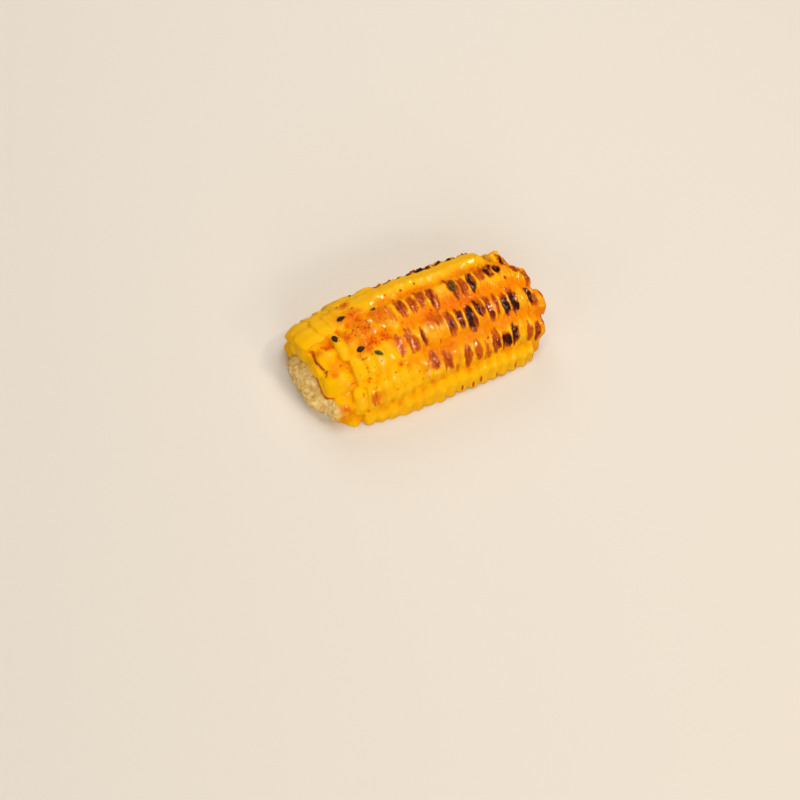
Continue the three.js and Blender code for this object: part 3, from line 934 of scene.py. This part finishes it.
def seed_points(length, width, height, around=14, steps=10):
    """A flat seed, blunt at one end and pointed at the other, from pole to pole along X."""
    turns = np.arange(around) / around * 2 * math.pi
    rings = [[[-length / 2, 0, 0]]]
    for n in range(1, steps):
        t = n / steps
        size = math.sin(math.pi * t) ** 0.7 * (1 - 0.35 * t)
        rings.append(np.stack([
            np.full(around, (t - 0.5) * length),
            np.cos(turns) * size * width / 1.6,
            np.sin(turns) * size * height / 1.6,
        ], axis=1))
    rings.append([[length / 2, 0, 0]])
    points = np.concatenate(rings)
    end = len(points) - 1
    faces = []
    for s in range(around):
        after = (s + 1) % around
        faces.append((0, 1 + after, 1 + s))
        for ring in range(1, end - around, around):
            faces.append((ring + s, ring + after, ring + around + after, ring + around + s))
        faces.append((end - around + s, end - around + after, end))
    return points, faces


def laid(points, spot, turn, lift):
    """Turns and moves a small thing's points so that it lies on the surface."""
    place, normal, along = spot
    across = normal.cross(along)
    cos, sin = math.cos(turn), math.sin(turn)
    ahead = along * cos + across * sin
    beside = normal.cross(ahead)
    basis = np.array([ahead, beside, normal])
    return points @ basis + np.array(place + normal * lift)


def make_seeds(tree):
    gathered = Gathered()
    for x, angle, turn in SESAME:
        points, faces = seed_points(*SESAME_SIZE)
        spot = surface_frame(tree, x, angle)
        gathered.add(laid(points, spot, math.radians(turn), 0.1), faces)
    material = dark_material("black_sesame", (0.01, 0.006, 0.003), (0.06, 0.035, 0.01), 0.45)
    finish_piece(gathered.mesh("sesame_seeds"), material)


def make_seaweed(tree):
    gathered = Gathered()
    for x, angle, turn, size in SEAWEED:
        spot = surface_frame(tree, x, angle)
        points, faces = seed_points(*SEAWEED_SIZE)
        points[:, 2] += 0.2 * np.sin(points[:, 0] * 1.7 + x)
        points[:, 1] += 0.4 * (noise(points + x, 0.8, 51) - 0.5)
        points *= size
        gathered.add(laid(points, spot, math.radians(turn), 0.02), faces)
    material = dark_material("dried_seaweed", (0.03, 0.025, 0.004), (0.15, 0.12, 0.015), 0.55)
    finish_piece(gathered.mesh("seaweed_flakes"), material)


def make_chilli(tree):
    """Small crumbs of dried chilli in loose clusters."""
    chance = random.Random(7)
    gathered = Gathered("shade")
    arc = math.degrees(1 / EAR_RADIUS)
    for x, angle, spread, count in CHILLI_CLUSTERS:
        for _ in range(count):
            spot = surface_frame(tree, chance.gauss(x, spread / 2),
                                 angle + chance.gauss(0, spread / 2) * arc)
            if spot is None:
                continue
            size = 0.16 + 0.34 * chance.random() ** 2.5
            points, faces = seed_points(2.2 * size, 1.5 * size, 0.5 * size, 6, 3)
            points *= np.array([1, 0.7 + 0.6 * chance.random(), 1])
            gathered.add(laid(points, spot, chance.uniform(0, 6.3), 0.02), faces,
                         shade=chance.random())
    finish_piece(gathered.mesh("chilli_crumbs"), chilli_material())


# ---- Materials ----


class Shader:
    """A material's node tree, with short calls for the nodes used here."""

    def __init__(self, name):
        self.material = bpy.data.materials.new(name)
        self.material.use_nodes = True
        self.nodes = self.material.node_tree.nodes
        self.links = self.material.node_tree.links
        self.surface = self.nodes["Principled BSDF"]

    def set(self, **values):
        for name, value in values.items():
            self.surface.inputs[name.replace("_", " ")].default_value = value

    def feed(self, socket, value):
        if isinstance(value, bpy.types.NodeSocket):
            self.links.new(value, socket)
        else:
            socket.default_value = value

    def value(self, name):
        node = self.nodes.new("ShaderNodeAttribute")
        node.attribute_name = name
        return node.outputs["Fac"]

    def noise(self, size, detail=3):
        """Noise from 0 to 1 in lumps about size millimetres across."""
        mapping = self.nodes.new("ShaderNodeMapping")
        place = self.nodes.new("ShaderNodeTexCoord")
        self.links.new(place.outputs["Object"], mapping.inputs["Vector"])
        mapping.inputs["Scale"].default_value = [1 / (size * MM)] * 3
        node = self.nodes.new("ShaderNodeTexNoise")
        self.links.new(mapping.outputs["Vector"], node.inputs["Vector"])
        node.inputs["Scale"].default_value = 1
        node.inputs["Detail"].default_value = detail
        return node.outputs["Fac"]

    def math(self, operation, a, b):
        node = self.nodes.new("ShaderNodeMath")
        node.operation = operation
        self.feed(node.inputs[0], a)
        self.feed(node.inputs[1], b)
        return node.outputs[0]

    def remap(self, value, low, high, to_low=0.0, to_high=1.0):
        node = self.nodes.new("ShaderNodeMapRange")
        node.interpolation_type = "SMOOTHSTEP"
        self.feed(node.inputs["Value"], value)
        node.inputs["From Min"].default_value = low
        node.inputs["From Max"].default_value = high
        node.inputs["To Min"].default_value = to_low
        node.inputs["To Max"].default_value = to_high
        return node.outputs["Result"]

    def ramp(self, value, stops):
        node = self.nodes.new("ShaderNodeValToRGB")
        self.feed(node.inputs["Fac"], value)
        elements = node.color_ramp.elements
        while len(elements) < len(stops):
            elements.new(0.5)
        for element, (place, color) in zip(elements, stops):
            element.position = place
            element.color = (*color, 1)
        return node.outputs["Color"]

    def mix(self, share, a, b):
        node = self.nodes.new("ShaderNodeMix")
        node.data_type = "RGBA"
        self.feed(node.inputs["Factor"], share)
        for socket, value in ((node.inputs[6], a), (node.inputs[7], b)):
            color = value if isinstance(value, bpy.types.NodeSocket) else (*value, 1)
            self.feed(socket, color)
        return node.outputs[2]

    def bump(self, height, strength, distance, socket="Normal"):
        node = self.nodes.new("ShaderNodeBump")
        node.inputs["Strength"].default_value = strength
        node.inputs["Distance"].default_value = distance * MM
        self.feed(node.inputs["Height"], height)
        self.links.new(node.outputs["Normal"], self.surface.inputs[socket])

    def color(self, value):
        self.feed(self.surface.inputs["Base Color"], value)


YELLOW = (0.96, 0.495, 0.001)
GOLD = (0.86, 0.28, 0.001)
ORANGE = (0.77, 0.175, 0.001)
RED_ORANGE = (0.7, 0.1, 0.001)
TAN = (0.6, 0.115, 0.001)
BROWN = (0.38, 0.046, 0.001)
DARK = (0.1, 0.007, 0.002)
BLACK = (0.022, 0.003, 0.001)
COAT = 0.34


def kernel_material():
    shader = Shader("kernel_skin")
    patches = shader.noise(5.0, 2)
    fine = shader.noise(1.4, 2)
    # The orange value also holds painted shade and glow in the valleys between the rows, painted
    # shade on the butt slopes of the first kernels, and a painted highlight where scorched kernels'
    # rims are less orange.
    orange = shader.math("ADD", shader.value("orange"),
                         shader.math("MULTIPLY", shader.math("SUBTRACT", patches, 0.5), 0.7))
    halved = shader.math("MULTIPLY", orange, 0.5)
    skin = shader.ramp(halved, [(0.04, YELLOW), (0.23, GOLD), (0.46, ORANGE), (0.75, RED_ORANGE)])
    # The scorch value also holds painted shade in the creases at the butt, which the ramp below
    # turns brown.
    scorch_and_crease_shade = shader.math("MULTIPLY", shader.value("scorch_and_crease_shade"),
                         shader.remap(fine, 0.3, 0.7, 0.85, 1.15))
    burnt = shader.ramp(scorch_and_crease_shade, [(0.08, ORANGE), (0.28, TAN), (0.52, BROWN), (0.72, DARK),
                                 (0.95, BLACK)])
    skin = shader.mix(shader.remap(scorch_and_crease_shade, 0.04, 0.24), skin, burnt)
    # The pale value also holds two painted highlights, mixed to the pith's colour.
    pale = shader.value("pale")
    skin = shader.mix(pale, skin, pith_color(shader))
    shader.color(skin)
    wet = shader.math("MULTIPLY", shader.remap(pale, 0.2, 0.7, COAT, 0.0), shader.value("wet"))
    shader.feed(shader.surface.inputs["Coat Weight"], wet)
    shader.set(Roughness=0.35, Specular_IOR_Level=0.06, Subsurface_Weight=0.1,
               Subsurface_Scale=0.001, Coat_Roughness=0.07, Coat_IOR=2.4)
    shader.surface.inputs["Specular Tint"].default_value = (1.0, 0.6, 0.1, 1)
    shader.surface.inputs["Subsurface Radius"].default_value = (1.0, 0.35, 0.05)
    shader.bump(shader.noise(0.55), 0.2, 0.25)
    shader.bump(shader.noise(1.3, 2), 0.16, 0.3, "Coat Normal")
    return shader.material


def pith_color(shader):
    # The pith's mottling from brown to cream is partly its own uneven tone and partly painted light
    # and shade.
    coarse = shader.noise(2.0, 4)
    fine = shader.noise(0.6)
    pith = shader.ramp(coarse, [(0.3, (0.66, 0.4, 0.1)), (0.48, (0.93, 0.63, 0.21)),
                                (0.66, (1.0, 0.8, 0.4))])
    # Darker pits: painted shade in the pith's hollows.
    painted_pit_shade = shader.remap(fine, 0.32, 0.46, 0.45, 0.0)
    return shader.mix(painted_pit_shade, pith, (0.45, 0.24, 0.05))


def cob_material():
    shader = Shader("pith")
    shader.color(pith_color(shader))
    shader.set(Roughness=0.85, Specular_IOR_Level=0.15, Subsurface_Weight=0.15,
               Subsurface_Scale=0.0015)
    shader.bump(shader.noise(0.6), 0.7, 0.6)
    return shader.material


def dark_material(name, dark, light, roughness):
    """Dark, grainy stuff with a faint gloss."""
    shader = Shader(name)
    shader.color(shader.ramp(shader.noise(0.8), [(0.35, dark), (0.7, light)]))
    shader.set(Roughness=roughness, Specular_IOR_Level=0.2)
    shader.bump(shader.noise(0.3), 0.4, 0.1)
    return shader.material


def chilli_material():
    shader = Shader("ground_chilli")
    shader.color(shader.ramp(shader.value("shade"), [(0.0, (0.22, 0.02, 0.001)),
                                                     (0.25, (0.6, 0.06, 0.001)),
                                                     (1.0, (0.85, 0.17, 0.002))]))
    shader.set(Roughness=0.6, Specular_IOR_Level=0.05)
    return shader.material


# ---- Floor and light ----


def make_floor():
    mesh = bpy.data.meshes.new("floor")
    reach, height = 3, -0.1 * MM  # just clear of the cut, which would flicker against it
    corners = [(x * reach, y * reach, height) for x, y in ((-1, -1), (1, -1), (1, 1), (-1, 1))]
    mesh.from_pydata(corners, [], [(0, 1, 2, 3)])
    shader = Shader("plain_floor")
    shader.color((0.72, 0.69, 0.65, 1))
    shader.set(Roughness=0.7)
    mesh.materials.append(shader.material)
    floor = bpy.data.objects.new("floor", mesh)
    floor.visible_glossy = False
    bpy.context.scene.collection.objects.link(floor)


def make_lights():
    """Broad soft fills that stay out of the reflections, and small lamps that glint in wet skin."""
    white, warm = (1, 1, 1), (1, 0.8, 0.55)
    for name, color, place, size, power in (
        ("overhead_fill", white, (0.22, 0.12, 0.75), 0.45, 2.7),
        ("front_fill", white, (-0.3, -0.8, 0.4), 0.6, 3.1),
        ("left_fill", white, (-0.8, -0.15, 0.4), 0.5, 1.2),
        ("back_fill", white, (0.1, 0.7, 0.5), 0.4, 1.7),
        ("key_glint", warm, (0.32, -0.25, 0.72), 0.14, 1.6),
        ("front_glint", warm, (0.2, -0.7, 0.45), 0.12, 0.9),
        ("back_glint", warm, (0.3, 0.45, 0.6), 0.07, 0.3),
        ("left_glint", warm, (-0.3, 0, 0.8), 0.15, 0.7),
    ):
        data = bpy.data.lights.new(name, "AREA")
        data.shape = "DISK"
        data.size = size
        data.energy = power
        data.color = color
        light = bpy.data.objects.new(name, data)
        light.location = place
        light.rotation_euler = (-Vector(place)).to_track_quat("-Z", "Y").to_euler()
        light.visible_glossy = name.endswith("glint")
        bpy.context.scene.collection.objects.link(light)
    world = bpy.data.worlds.new("studio")
    world.use_nodes = True
    world.node_tree.nodes["Background"].inputs["Color"].default_value = (1, 0.85, 0.62, 1)
    world.node_tree.nodes["Background"].inputs["Strength"].default_value = 0.1
    bpy.context.scene.world = world


# ---- The scene ----

make_camera()
bpy.context.scene.view_settings.view_transform = "Standard"
make_floor()
make_lights()
kernels = make_kernels()
make_cob()
bpy.context.view_layer.update()
skin_tree = BVHTree.FromObject(kernels, bpy.context.evaluated_depsgraph_get())
make_seeds(skin_tree)
make_seaweed(skin_tree)
make_chilli(skin_tree)
